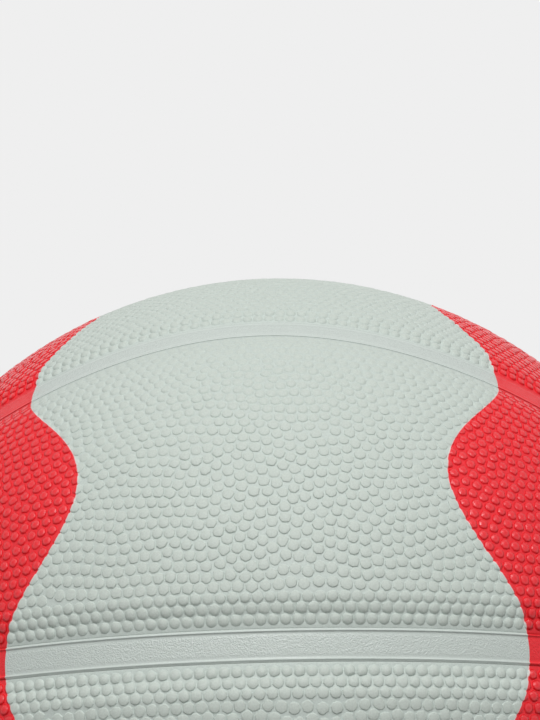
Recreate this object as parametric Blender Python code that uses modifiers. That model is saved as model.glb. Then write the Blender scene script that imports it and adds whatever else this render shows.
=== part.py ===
"""A basketball: cover panels and seam strips round a carcass, a thread winding, a bladder and its valve.

The panels and strips are laid out in a seam frame. Its +X runs through a crossing of the belt seam and the
ring seam, its -Y through the front of the belt seam, and its +Z through the middle of the upper loop seam.
An empty tips that frame, so that the ball stands on the middle of a cap panel. The valve points along +Y.
"""

import math

import bmesh
import bpy
import numpy as np
from mathutils import Matrix, Vector

# Cover
BALL_DIAMETER = 0.2410  # over the crowns of the panels
SEAM_TILT = math.radians(20.0)  # how far the front of the belt seam is tipped up
LOOP_LATITUDE = math.radians(33.0)  # mean angle from the belt seam to a loop seam
LOOP_WAVE = math.radians(10.9)  # how far a loop seam swings to each side of that mean
STRIP_WIDTH = 0.0063
STRIP_THICKNESS = 0.0008
CHANNEL_DEPTH = 0.0015  # from the crown of a panel down to a strip
SHOULDER_WIDTH = 0.0075  # over which the rim of a panel rolls down to its strip
FIT_GAP = 0.0003  # clearance between neighbouring pieces
FOOT_WIDTH = 0.0180  # flat that the ball's weight presses where it stands
FOOT_PANEL = "rear_bottom_panel"
VALVE_PANEL = "rear_upper_panel"

# Layers under the cover
CARCASS_WALL = 0.0008
WINDING_WALL = 0.0006
BLADDER_WALL = 0.0009

# Valve
NEEDLE_HOLE = 0.0016
NEEDLE_MOUTH_FLARE = 0.0008  # extra radius of the funnel at the mouth, and its depth
PLUG_WALL = 0.0024
PLUG_LIP = 0.0010  # how far the head of the plug stands out round its shank
PLUG_HEAD_THICKNESS = 0.0010
PLUG_RECESS = 0.0002  # plug face below the rim of the valve
VALVE_RIM = 0.0010  # rubber left round the head of the plug
VALVE_RECESS = 0.0004  # valve rim below the crown of the panel
FLANGE_OVERHANG = 0.0090
FLANGE_THICKNESS = 0.0015
TUBE_LENGTH = 0.0060  # of the valve below its flange

# Two-tone cover: a pale belt round the ball, red at both ends of the X axis
RED_NECK = math.radians(61.3)  # reach of the red from the X axis where the border meets a seam
RED_LOBE = math.radians(69.8)  # and in the middle of a panel
LOOP_BEARING = math.radians(41.6)  # bearing about the X axis at which the border crosses a loop seam

# Mesh
LONG_PANEL_CELLS = (26, 9)
CAP_PANEL_CELLS = (18, 8)
LOOP_STRIP_CELLS = 26
BELT_STRIP_CELLS = 30
RING_STRIP_CELLS = 60
RIM_GRADING = 0.35  # how strongly the cells crowd towards the rim of a panel
FOOT_SUBDIVISIONS = 1  # extra cuts in each cell round the foot
SHELL_SUBDIVISIONS = 4
TURNED_STEPS = 32
FLANGE_POINTS = 4  # along the curved seat of the valve's flange
MERGE_DISTANCE = 1e-5
SOLVER_STEPS = 40
SMOOTH_ANGLE = math.radians(30.0)

outer_radius = BALL_DIAMETER / 2
channel_radius = outer_radius - CHANNEL_DEPTH
cover_inner_radius = channel_radius - STRIP_THICKNESS
strip_half = STRIP_WIDTH / 2 / channel_radius  # as an angle at the ball's centre
panel_rim = (STRIP_WIDTH / 2 + FIT_GAP) / channel_radius
foot_distance = math.sqrt(outer_radius**2 - (FOOT_WIDTH / 2) ** 2)

plug_shank_radius = NEEDLE_HOLE / 2 + PLUG_WALL
plug_head_radius = plug_shank_radius + PLUG_LIP
valve_radius = plug_head_radius + FIT_GAP + VALVE_RIM
valve_top = outer_radius - VALVE_RECESS
plug_top = valve_top - PLUG_RECESS


def clear_scene():
    for item in list(bpy.data.objects):
        bpy.data.objects.remove(item, do_unlink=True)


def new_collection(name):
    collection = bpy.data.collections.new(name)
    bpy.context.scene.collection.children.link(collection)
    return collection


def new_empty(name, collection, turn):
    empty = bpy.data.objects.new(name, None)
    empty.rotation_euler = turn
    collection.objects.link(empty)
    return empty


def new_material(name, color, roughness):
    material = bpy.data.materials.new(name)
    material.use_nodes = True
    shader = material.node_tree.nodes["Principled BSDF"]
    shader.inputs["Base Color"].default_value = (*color, 1.0)
    shader.inputs["Roughness"].default_value = roughness
    shader.inputs["Metallic"].default_value = 0.0
    material.diffuse_color = (*color, 1.0)
    return material


def new_object(name, mesh, collection, parent, materials):
    """Links a mesh as a named piece, smooth where its faces meet at a shallow angle."""
    mesh.shade_smooth()
    mesh.set_sharp_from_angle(angle=SMOOTH_ANGLE)
    for material in materials:
        mesh.materials.append(material)
    piece = bpy.data.objects.new(name, mesh)
    piece.parent = parent
    collection.objects.link(piece)
    return piece


# Seam layout: directions in the seam frame


def belt_direction(latitude, longitude):
    """Unit vectors from the latitude off the belt seam and the longitude from the front towards +X."""
    flat = np.cos(latitude)
    return np.stack([flat * np.sin(longitude), -flat * np.cos(longitude), np.sin(latitude)], axis=-1)


def ring_direction(along, across):
    """Unit vectors from the angle along the ring seam, +Z towards +X, and the angle off it to the front."""
    flat = np.cos(across)
    return np.stack([flat * np.sin(along), -np.sin(across), flat * np.cos(along)], axis=-1)


def loop_latitude(longitude):
    return LOOP_LATITUDE + LOOP_WAVE * np.cos(2 * longitude)


def loop_slant(longitude):
    """How much longer a step across the loop seam is along a meridian than square to the seam."""
    slope = 2 * LOOP_WAVE * np.sin(2 * longitude) / np.cos(loop_latitude(longitude))
    return np.sqrt(1 + slope**2)


def longitude_limit(latitude):
    """Longitude at which a piece of the front ends, just short of the strip in the ring seam."""
    return np.arccos(np.sin(panel_rim) / np.cos(latitude))


def long_panel(s, t):
    latitude = np.full_like(s, LOOP_LATITUDE / 2)
    for _ in range(SOLVER_STEPS):
        longitude = s * longitude_limit(latitude)
        top = loop_latitude(longitude) - panel_rim * loop_slant(longitude)
        latitude = panel_rim + (t + 1) / 2 * (top - panel_rim)
    return belt_direction(latitude, longitude)


def beyond_loop(direction):
    latitude = np.arcsin(direction[:, 2])
    longitude = np.arctan2(direction[:, 0], -direction[:, 1])
    return latitude > loop_latitude(longitude) + panel_rim * loop_slant(longitude)


def cap_panel(s, t):
    """A half disc, its straight side along the ring seam: a grid rounded off and stretched to the loop."""
    depth = (t + 1) / 2
    x = s * np.sqrt(1 - depth**2 / 2)
    y = depth * np.sqrt(1 - s**2 / 2)
    bearing = np.arctan2(x, y)
    inside = np.zeros_like(s)
    outside = np.full_like(s, math.pi / 2)
    for _ in range(SOLVER_STEPS):
        middle = (inside + outside) / 2
        past = ~beyond_loop(ring_direction(middle * np.sin(bearing), panel_rim + middle * np.cos(bearing)))
        inside = np.where(past, inside, middle)
        outside = np.where(past, middle, outside)
    reach = np.hypot(x, y) * inside
    return ring_direction(reach * np.sin(bearing), panel_rim + reach * np.cos(bearing))


def belt_strip(s, t):
    latitude = t * strip_half
    return belt_direction(latitude, s * longitude_limit(latitude))


def loop_strip(s, t):
    latitude = np.full_like(s, LOOP_LATITUDE)
    for _ in range(SOLVER_STEPS):
        longitude = s * longitude_limit(latitude)
        latitude = loop_latitude(longitude) + t * strip_half * loop_slant(longitude)
    return belt_direction(latitude, longitude)


def ring_strip(s, t):
    return ring_direction(s * math.pi, t * strip_half)


def seam_distance(direction):
    """Distance on the cover from the middle of the nearest seam."""
    latitude = np.abs(np.arcsin(direction[:, 2]))
    longitude = np.arctan2(direction[:, 0], -direction[:, 1])
    to_loop = np.abs(latitude - loop_latitude(longitude)) / loop_slant(longitude)
    to_ring = np.abs(np.arcsin(direction[:, 1]))
    return channel_radius * np.minimum(np.minimum(latitude, to_ring), to_loop)


def panel_top(direction):
    """Radius of a panel's outside: a crown that rolls down to the strip along its rim."""
    inward = (seam_distance(direction) - STRIP_WIDTH / 2 - FIT_GAP) / SHOULDER_WIDTH
    fall = (1 + np.cos(math.pi * np.clip(inward, 0, 1))) / 2
    return outer_radius - CHANNEL_DEPTH * fall


def strip_top(direction):
    return np.full(len(direction), channel_radius)


def is_red(direction):
    """True inside the red ends: their border has a neck at every seam and a lobe on every panel."""
    bearing = np.arctan2(np.abs(direction[:, 2]), np.abs(direction[:, 1]))
    low = bearing < LOOP_BEARING
    share = np.where(low, bearing / LOOP_BEARING, (bearing - LOOP_BEARING) / (math.pi / 2 - LOOP_BEARING))
    border = RED_NECK + (RED_LOBE - RED_NECK) * (1 - np.cos(2 * math.pi * share)) / 2
    return np.arccos(np.abs(direction[:, 0])) < border


# Cover pieces


def directions_of(points):
    positions = np.array([point[:] for point in points])
    return positions / np.linalg.norm(positions, axis=1, keepdims=True)


def lift(verts, top):
    """Moves points out or in along their radii until they lie on the outside of the piece."""
    directions = directions_of([vert.co for vert in verts])
    for vert, direction, radius in zip(verts, directions, top(directions)):
        vert.co = Vector(direction) * radius


def press_foot(bm, top, foot):
    """Refines the outside round the foot and slices it flat there."""
    near = math.cos(2 * FOOT_WIDTH / outer_radius)
    outside = cover_inner_radius + STRIP_THICKNESS / 2
    centers = {face: face.calc_center_median() for face in bm.faces}
    outer_faces = [face for face, center in centers.items() if center.length > outside]
    around = [face for face in outer_faces if centers[face].normalized().dot(foot) > near]
    edges = list({edge for face in around for edge in face.edges})
    cut = bmesh.ops.subdivide_edges(bm, edges=edges, cuts=FOOT_SUBDIVISIONS, use_grid_fill=True)
    lift([item for item in cut["geom_inner"] if isinstance(item, bmesh.types.BMVert)], top)
    bmesh.ops.bisect_plane(
        bm,
        geom=bm.verts[:] + bm.edges[:] + bm.faces[:],
        dist=MERGE_DISTANCE,
        plane_co=foot * foot_distance,
        plane_no=foot,
        clear_outer=True,
    )
    for vert in bm.verts:
        proud = vert.co.dot(foot) - foot_distance
        if proud > -MERGE_DISTANCE:
            vert.co -= foot * proud
    bmesh.ops.holes_fill(bm, edges=[edge for edge in bm.edges if edge.is_boundary])


def cover_piece(layout, top, cells, mirror, graded, foot):
    """Mesh of a piece of the cover: a grid laid along its inside and extruded out to its top."""
    bm = bmesh.new()
    bmesh.ops.create_grid(bm, x_segments=cells[0], y_segments=cells[1], size=1.0)
    grid = np.array([vert.co[:2] for vert in bm.verts])
    grid += graded * (grid - grid**3)
    for vert, direction in zip(bm.verts, layout(grid[:, 0], grid[:, 1]) * np.array(mirror)):
        vert.co = Vector(direction) * cover_inner_radius
    bmesh.ops.remove_doubles(bm, verts=bm.verts, dist=MERGE_DISTANCE)
    flat = bm.verts[:] + bm.edges[:] + bm.faces[:]
    raised = bmesh.ops.extrude_face_region(bm, geom=flat, use_keep_orig=True)["geom"]
    lift([item for item in raised if isinstance(item, bmesh.types.BMVert)], top)
    if foot:
        press_foot(bm, top, foot)
    bmesh.ops.recalc_face_normals(bm, faces=bm.faces)
    bmesh.ops.triangulate(bm, faces=bm.faces)
    red = is_red(directions_of([face.calc_center_median() for face in bm.faces]))
    for face, inside_red in zip(bm.faces, red):
        face.material_index = int(inside_red)
    mesh = bpy.data.meshes.new("cover")
    bm.to_mesh(mesh)
    bm.free()
    return mesh


def clear_radius(mesh, radius):
    """Radius of the largest ball at the centre that clears the faces lying at one radius."""
    at_radius = [abs(vert.co.length - radius) < MERGE_DISTANCE for vert in mesh.vertices]
    faces = [face for face in mesh.polygons if all(at_radius[corner] for corner in face.vertices)]
    return min(abs(face.normal.dot(face.center)) for face in faces)


def cover_layout():
    """Name, layout, cells and mirroring of every panel and strip."""
    pieces = [("ring_strip", ring_strip, (RING_STRIP_CELLS, 1), (1, 1, 1))]
    for end, y_side in (("front", 1), ("rear", -1)):
        pieces.append((f"belt_strip_{end}", belt_strip, (BELT_STRIP_CELLS, 1), (1, y_side, 1)))
        for level, cap, z_side in (("upper", "top", 1), ("lower", "bottom", -1)):
            mirror = (1, y_side, z_side)
            pieces.append((f"{level}_loop_strip_{end}", loop_strip, (LOOP_STRIP_CELLS, 1), mirror))
            pieces.append((f"{end}_{level}_panel", long_panel, LONG_PANEL_CELLS, mirror))
            pieces.append((f"{end}_{cap}_panel", cap_panel, CAP_PANEL_CELLS, mirror))
    return pieces


def build_cover(collection, seam_frame, foot):
    """All panels and strips. Returns the radius that is left clear inside them."""
    panel_paint = [
        new_material("panel_pale", (0.60, 0.67, 0.61), 0.55),
        new_material("panel_red", (0.80, 0.04, 0.06), 0.45),
    ]
    strip_paint = [
        new_material("strip_pale", (0.56, 0.63, 0.58), 0.50),
        new_material("strip_red", (0.74, 0.03, 0.05), 0.42),
    ]
    clear = []
    for name, layout, cells, mirror in cover_layout():
        pressed = foot if name == FOOT_PANEL else None
        if name.endswith("panel"):
            mesh = cover_piece(layout, panel_top, cells, mirror, RIM_GRADING, pressed)
            new_object(name, mesh, collection, seam_frame, panel_paint)
        else:
            mesh = cover_piece(layout, strip_top, cells, mirror, 0.0, pressed)
            new_object(name, mesh, collection, seam_frame, strip_paint)
        clear.append(clear_radius(mesh, cover_inner_radius))
    return min(clear)


# Core and valve


def cut_with(piece, cutter):
    cut = piece.modifiers.new("valve_hole", "BOOLEAN")
    cut.operation = "DIFFERENCE"
    cut.solver = "EXACT"
    cut.object = cutter


def valve_cutter(collection, valve_frame):
    """Cylinder that clears the neck of the valve through every layer."""
    bm = bmesh.new()
    radius = valve_radius + FIT_GAP
    bmesh.ops.create_cone(
        bm,
        cap_ends=True,
        segments=TURNED_STEPS,
        radius1=radius,
        radius2=radius,
        depth=outer_radius,
        matrix=Matrix.Translation((0, 0, outer_radius)),
    )
    mesh = bpy.data.meshes.new("valve_cutter")
    bm.to_mesh(mesh)
    bm.free()
    cutter = new_object("valve_cutter", mesh, collection, valve_frame, [])
    cutter.hide_render = True
    cutter.display_type = "WIRE"
    return cutter


def core_shell(name, radius, wall, collection, material, cutter):
    """A closed ball skin with its wall turned inwards and the valve hole cut through it."""
    bm = bmesh.new()
    bmesh.ops.create_icosphere(bm, subdivisions=SHELL_SUBDIVISIONS, radius=radius)
    mesh = bpy.data.meshes.new(name)
    bm.to_mesh(mesh)
    bm.free()
    shell = new_object(name, mesh, collection, None, [material])
    skin = shell.modifiers.new("wall", "SOLIDIFY")
    skin.thickness = wall
    skin.offset = -1
    cut_with(shell, cutter)
    return shell


def turned_piece(name, profile, collection, parent, material):
    """A ring turned about its frame's Z axis from a closed (radius, height) outline."""
    mesh = bpy.data.meshes.new(name)
    corners = [(radius, 0, height) for radius, height in profile]
    sides = [(i, (i + 1) % len(profile)) for i in range(len(profile))]
    mesh.from_pydata(corners, sides, [])
    piece = new_object(name, mesh, collection, parent, [material])
    turn = piece.modifiers.new("turn", "SCREW")
    turn.axis = "Z"
    turn.angle = 2 * math.pi
    turn.steps = TURNED_STEPS
    turn.render_steps = TURNED_STEPS
    turn.use_merge_vertices = True
    turn.merge_threshold = MERGE_DISTANCE
    turn.use_smooth_shade = True
    return piece


def build_valve(seat_radius, collection, valve_frame):
    """The valve, with its flange against the inside of the bladder, and the plug pressed into it."""
    flange_radius = valve_radius + FLANGE_OVERHANG
    shank_bore = plug_shank_radius + FIT_GAP
    head_bore = plug_head_radius + FIT_GAP
    head_seat = plug_top - PLUG_HEAD_THICKNESS - FIT_GAP
    seat_radii = np.linspace(valve_radius, flange_radius, FLANGE_POINTS)
    seat = [(radius, math.sqrt(seat_radius**2 - radius**2)) for radius in seat_radii]
    flange_bottom = seat[-1][1] - FLANGE_THICKNESS
    tube_bottom = flange_bottom - TUBE_LENGTH
    body = [
        (valve_radius, valve_top),
        *seat,
        (flange_radius, flange_bottom),
        (valve_radius, flange_bottom),
        (valve_radius, tube_bottom),
        (shank_bore, tube_bottom),
        (shank_bore, head_seat),
        (head_bore, head_seat),
        (head_bore, valve_top),
    ]
    needle_radius = NEEDLE_HOLE / 2
    plug = [
        (plug_head_radius, plug_top),
        (plug_head_radius, plug_top - PLUG_HEAD_THICKNESS),
        (plug_shank_radius, plug_top - PLUG_HEAD_THICKNESS),
        (plug_shank_radius, tube_bottom),
        (needle_radius, tube_bottom),
        (needle_radius, plug_top - NEEDLE_MOUTH_FLARE),
        (needle_radius + NEEDLE_MOUTH_FLARE, plug_top),
    ]
    valve_rubber = new_material("valve_rubber", (0.42, 0.47, 0.43), 0.55)
    plug_rubber = new_material("plug_rubber", (0.03, 0.03, 0.03), 0.50)
    turned_piece("valve_body", body, collection, valve_frame, valve_rubber)
    turned_piece("valve_plug", plug, collection, valve_frame, plug_rubber)


def main():
    clear_scene()
    ball = new_collection("basketball")
    cutters = new_collection("cutters")
    seam_frame = new_empty("seam_frame", ball, (-SEAM_TILT, 0, 0))
    valve_frame = new_empty("valve_frame", ball, (-math.pi / 2, 0, 0))

    foot = Matrix.Rotation(SEAM_TILT, 3, "X") @ Vector((0, 0, -1))
    clear = build_cover(ball, seam_frame, foot)

    cutter = valve_cutter(cutters, valve_frame)
    cut_with(bpy.data.objects[VALVE_PANEL], cutter)
    radius = clear - FIT_GAP
    layers = (
        ("carcass", CARCASS_WALL, new_material("carcass_rubber", (0.05, 0.05, 0.05), 0.7)),
        ("winding", WINDING_WALL, new_material("winding_nylon", (0.75, 0.73, 0.66), 0.6)),
        ("bladder", BLADDER_WALL, new_material("bladder_butyl", (0.02, 0.02, 0.02), 0.5)),
    )
    for name, wall, material in layers:
        shell = core_shell(name, radius, wall, ball, material, cutter)
        flatness = clear_radius(shell.data, radius) / radius
        radius -= wall + FIT_GAP
    build_valve(radius * flatness, ball, valve_frame)
    print(f"foot plane {foot_distance:.6f} m below the centre, plug face {plug_top:.6f} m along +Y")


main()
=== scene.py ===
# %% [markdown]
# # Dressing a two-tone rubber basketball
#
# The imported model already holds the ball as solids: eight cover panels, the strips in the seams, the layers
# inside and the needle valve. They are smooth. What makes a basketball look like one is on the surface:
# thousands of pebbles, the fine beads along the seams, the grain of the strips, and two colours of rubber.
# This lesson builds that surface on the solids, one step at a time, and leaves the solids where they are.

# %% Load the frame
import math
from itertools import product
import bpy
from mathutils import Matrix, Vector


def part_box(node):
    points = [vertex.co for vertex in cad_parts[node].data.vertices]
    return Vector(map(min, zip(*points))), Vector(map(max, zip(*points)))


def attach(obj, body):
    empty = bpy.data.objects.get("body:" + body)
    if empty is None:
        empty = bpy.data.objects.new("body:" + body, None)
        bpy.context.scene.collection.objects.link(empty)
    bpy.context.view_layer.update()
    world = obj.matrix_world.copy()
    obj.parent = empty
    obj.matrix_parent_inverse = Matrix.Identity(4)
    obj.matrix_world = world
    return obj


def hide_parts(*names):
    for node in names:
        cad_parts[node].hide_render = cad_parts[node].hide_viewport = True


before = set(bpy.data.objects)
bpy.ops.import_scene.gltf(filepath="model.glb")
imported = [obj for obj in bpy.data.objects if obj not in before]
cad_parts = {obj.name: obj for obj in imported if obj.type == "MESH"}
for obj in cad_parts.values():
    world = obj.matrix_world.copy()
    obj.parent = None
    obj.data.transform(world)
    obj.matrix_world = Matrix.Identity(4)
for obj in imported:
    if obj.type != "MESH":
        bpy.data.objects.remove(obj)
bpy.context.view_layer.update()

from types import SimpleNamespace

import bpy
import numpy as np
from mathutils import Matrix, Vector
from mathutils.geometry import delaunay_2d_cdt

# %% [markdown]
# ## Sizes from the solids
#
# A new skin has to lie on the old one. Copying the radii by hand would work until someone resizes the ball,
# so they are measured on the solids: the crown of a panel, the floor of a seam channel, the underside of the
# cover, the half width of a strip and the flat that the ball stands on.

# %% Measure the solids
SEAM_TILT = math.radians(20.0)  # how far the front of the belt seam is tipped up

to_seam = np.array(Matrix.Rotation(SEAM_TILT, 3, "X"))
to_world = to_seam.T


def node_points(name):
    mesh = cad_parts[name].data
    points = np.empty(len(mesh.vertices) * 3)
    mesh.vertices.foreach_get("co", points)
    return points.reshape(-1, 3)


panel_reach = np.linalg.norm(node_points("front_upper_panel"), axis=1)
ring_points = node_points("ring_strip")
crown_radius = panel_reach.max()
cover_inner_radius = panel_reach.min()
channel_radius = np.linalg.norm(ring_points, axis=1).max()
strip_half_width = channel_radius * math.asin(np.abs(ring_points @ to_seam.T)[:, 1].max() / channel_radius)
foot_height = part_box("rear_bottom_panel")[0].z
print(f"crown {crown_radius * 1000:.2f} mm, channel {channel_radius * 1000:.2f} mm, "
      f"strip {strip_half_width * 2000:.2f} mm wide, foot at {foot_height * 1000:.2f} mm")

# %% [markdown]
# ## The seam layout
#
# Three kinds of seam divide the cover: a belt round the middle, a ring that crosses it at both sides, and
# two loops that wave up and down round the poles. They could be drawn as curves, but a formula is exact
# everywhere. All of them mirror front to back and top to bottom, so only the front upper quarter is worked
# out, as directions from the centre of the ball.

# %% Directions on the ball
LOOP_LATITUDE = math.radians(33.0)
LOOP_WAVE = math.radians(10.9)


def belt_direction(latitude, longitude):
    flat = np.cos(latitude)
    return np.stack([flat * np.sin(longitude), -flat * np.cos(longitude), np.sin(latitude)], axis=-1)


def ring_direction(along, across):
    flat = np.cos(across)
    return np.stack([flat * np.sin(along), -np.sin(across), flat * np.cos(along)], axis=-1)


def loop_latitude(longitude):
    return LOOP_LATITUDE + LOOP_WAVE * np.cos(2 * longitude)


def loop_slant(longitude):
    """How many times longer the way to a loop is along a meridian than straight across."""
    slope = 2 * LOOP_WAVE * np.sin(2 * longitude) / np.cos(loop_latitude(longitude))
    return np.sqrt(1 + slope**2)


def seam_angles(direction):
    """Angles from the belt, the ring and the loop, positive on the front upper side of each."""
    latitude = np.arcsin(np.clip(direction[:, 2], -1, 1))
    longitude = np.arctan2(direction[:, 0], -direction[:, 1])
    to_loop = (latitude - loop_latitude(longitude)) / loop_slant(longitude)
    return latitude, np.arcsin(np.clip(-direction[:, 1], -1, 1)), to_loop


front_latitude, side_latitude = np.degrees(loop_latitude(np.array([0.0, math.pi / 2])))
print(f"a loop runs at {front_latitude:.1f} degrees in front and at {side_latitude:.1f} at the sides")

# %% [markdown]
# ## Two shapes of panel
#
# The belt, the ring and a loop bound a long panel. The ring and a loop bound a cap panel. An outline traced
# by hand would only serve for the rim, so both shapes are written as a map from a square to the sphere. The
# inset says how far inside the seams the edge of the square lands. So the same map gives the rim, rows of
# pebbles in line with it, and points all over the panel.

# %% Long panels and cap panels
SOLVER_STEPS = 40


def longitude_limit(latitude, inset):
    return np.arccos(np.clip(np.sin(inset) / np.cos(latitude), -1, 1))


def long_panel(s, t, inset):
    latitude = np.full_like(s, LOOP_LATITUDE / 2)
    for _ in range(SOLVER_STEPS):
        longitude = s * longitude_limit(latitude, inset)
        top = loop_latitude(longitude) - inset * loop_slant(longitude)
        latitude = inset + (t + 1) / 2 * (top - inset)
    return belt_direction(latitude, longitude)


def cap_panel(s, t, inset):
    depth = (t + 1) / 2
    x = s * np.sqrt(1 - depth**2 / 2)
    y = depth * np.sqrt(1 - s**2 / 2)
    bearing = np.arctan2(x, y)
    near = np.zeros_like(s)
    far = np.full_like(s, math.pi / 2)
    for _ in range(SOLVER_STEPS):
        middle = (near + far) / 2
        direction = ring_direction(middle * np.sin(bearing), inset + middle * np.cos(bearing))
        inside = seam_angles(direction)[2] > inset
        near = np.where(inside, middle, near)
        far = np.where(inside, far, middle)
    reach = np.hypot(x, y) * near
    return ring_direction(reach * np.sin(bearing), inset + reach * np.cos(bearing))


def long_depth(direction):
    """Angle from a long panel's nearest seam, negative outside it."""
    to_belt, to_ring, to_loop = seam_angles(direction)
    return np.minimum(np.minimum(to_belt, to_ring), -to_loop)


def cap_depth(direction):
    _, to_ring, to_loop = seam_angles(direction)
    return np.minimum(to_ring, to_loop)


left, right = long_panel(np.array([-1.0, 1.0]), np.zeros(2), 0.0)
print(f"a long panel spans {math.degrees(math.acos(left @ right)):.0f} degrees from end to end")

# %% Outline of a panel
OUTLINE_POINTS = 400  # on each side of the square
FEWEST_POINTS = 3  # that make a loop
RIM_GAP = 0.00042  # from the edge of a strip to the rim of a panel
RIM_STEP = 0.0008


def unit(vectors):
    return vectors / np.linalg.norm(vectors, axis=1, keepdims=True)


def even_steps(line, step, closed, phase=0.0):
    """The same line of directions with even steps."""
    if closed:
        line = np.vstack([line, line[:1]])
    run = np.concatenate([[0], np.cumsum(np.linalg.norm(np.diff(line, axis=0), axis=1))])
    count = max(FEWEST_POINTS, round(run[-1] / step))
    at = (np.arange(count if closed else count + 1) + phase) / count * run[-1]
    return unit(np.stack([np.interp(at, run, line[:, axis]) for axis in range(3)], axis=1))


def outline(layout, inset, step, phase=0.0):
    """Evenly spaced directions round a panel, at an inset angle from its seams."""
    side = np.linspace(-1, 1, OUTLINE_POINTS, endpoint=False)
    edge = np.ones_like(side)
    s = np.concatenate([side, edge, -side, -edge])
    t = np.concatenate([-edge, side, edge, -side])
    return even_steps(layout(s, t, inset), step, True, phase)


rim_inset = (strip_half_width + RIM_GAP) / channel_radius
print("long panel rim:", len(outline(long_panel, rim_inset, RIM_STEP / crown_radius)), "points")

# %% [markdown]
# ## Where the pebbles sit
#
# On a moulded cover the pebbles form neat staggered rows along every seam, and farther in the rows bend and
# break. A regular grid would look stamped, and random dots would look like gravel. So rows are laid out
# first, and a smooth flow bends the inner ones. Of two pebbles that are far too close one goes, and the rest
# push each other apart. Then pebbles are added wherever one still fits, and all of them push once more. The
# rows along the seams are held.

# %% Neighbours on the ball
PEBBLE_PITCH = 0.00265  # along a row
ODD_WAY = np.array([0.31, 0.17, 0.93])  # no direction in the front upper quarter lies along it
pitch = PEBBLE_PITCH / crown_radius


def tangents(direction):
    """Two unit vectors across each direction."""
    side = unit(np.cross(direction, ODD_WAY))
    return side, np.cross(direction, side)


def close_pairs(points, reach):
    """Index pairs, both ways, of unit vectors closer than an angle."""
    near = points.astype(np.float32) @ points.astype(np.float32).T > math.cos(reach)
    np.fill_diagonal(near, False)
    return np.nonzero(near)


print(f"pebbles every {PEBBLE_PITCH * 1000:.2f} mm, or {math.degrees(pitch):.2f} degrees")

# %% Keep a least distance
def spread_out(points, spacing):
    """Numbers of the points that keep a distance from those before them, found through a coarse grid."""
    cells = {}
    kept = []
    for number, point in enumerate(points.tolist()):
        home = tuple(int(c // spacing) for c in point)
        around = product(*[(c - 1, c, c + 1) for c in home])
        if all(math.dist(point, other) >= spacing for cell in around for other in cells.get(cell, ())):
            cells.setdefault(home, []).append(point)
            kept.append(number)
    return kept


trial = outline(long_panel, rim_inset, pitch / 2)
print("of", len(trial), "points half a pitch apart,", len(spread_out(trial, pitch)), "stay")

# %% Stir the rows
SWIRLS = 24
STIR = 0.0030  # in a long panel
STIR_LENGTHS = (0.018, 0.050)  # of the waves that are added up
STIR_STEPS = 8
CALM = (math.radians(14.0), math.radians(38.0), 0.2)  # to the sides the flow falls to this share
LONG_SEED = 11


def swirl(rng):
    """A random flow over the ball that turns and shears, but hardly gathers what it carries."""
    turn = 2 * math.pi / rng.uniform(*STIR_LENGTHS, SWIRLS) * crown_radius
    heading = unit(rng.normal(size=(SWIRLS, 3)))
    phase = rng.uniform(0, 2 * math.pi, SWIRLS)

    def carried(points, distance):
        longitude = np.abs(np.arctan2(points[:, :1], -points[:, 1:2]))
        step = distance / STIR_STEPS * np.interp(longitude, CALM[:2], (1.0, CALM[2]))
        for _ in range(STIR_STEPS):
            slope = np.cos(points @ heading.T * turn + phase) @ heading * math.sqrt(2 / SWIRLS)
            points = unit(points + step * np.cross(points, slope))
        return points

    return carried


spot = long_panel(np.zeros(1), np.zeros(1), rim_inset)
drift = np.linalg.norm(swirl(np.random.default_rng(LONG_SEED))(spot, STIR / crown_radius) - spot)
print(f"the middle of a long panel drifts {drift * crown_radius * 1000:.1f} mm")

# %% Push neighbours apart
HELD_ROWS = 3
PUSH_ROUNDS = 60
FRESH_PAIRS = 8  # rounds between two searches for neighbours
PUSH = 0.30
SOFT_PUSH = 0.03
SOFT_REACH = 1.3  # pitches
SEARCH_MARGIN = 1.15  # neighbours are searched a little farther out, because pebbles move


def settled(points, rows, closest):
    """Drops points that are too close to earlier ones, then lets neighbours push each other apart."""
    kept = spread_out(points, closest * pitch)
    points, rows = points[kept], rows[kept]
    loose = (rows < 0) | (rows >= HELD_ROWS)
    for step in range(PUSH_ROUNDS):
        if step % FRESH_PAIRS == 0:
            i, j = close_pairs(points, SEARCH_MARGIN * SOFT_REACH * pitch)
        apart = points[i] - points[j]
        distance = np.linalg.norm(apart, axis=1, keepdims=True)
        hard = PUSH * np.maximum(pitch - distance, 0)
        soft = SOFT_PUSH * np.maximum(SOFT_REACH * pitch - distance, 0)
        push = np.zeros_like(points)
        np.add.at(push, i, apart / distance * (hard + soft))
        points = unit(points + np.where(loose[:, None], push, 0))
    return points, rows


print("rows held along each seam:", HELD_ROWS)

# %% Lay out the pebbles
FIRST_ROW = 0.0055  # from the middle of a seam
SEAM_ROW_STEP = 0.00233
ROW_STEP = 0.00264
MOST_ROWS = 60
ROW_SLACK = 0.1  # pitches that a pebble may stand outside its row, at a corner of the panel
STIR_ROWS = 2  # over which the stirring grows to its full size
SHAKE = 0.00020
ROW_CLOSEST = 0.60  # of the pitch: of two pebbles closer than this, one is dropped
FILL_CLOSEST = 0.78
FILL_TRIES = 30000
CAP_STIR = 0.0012
CAP_SEED = 14


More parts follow.
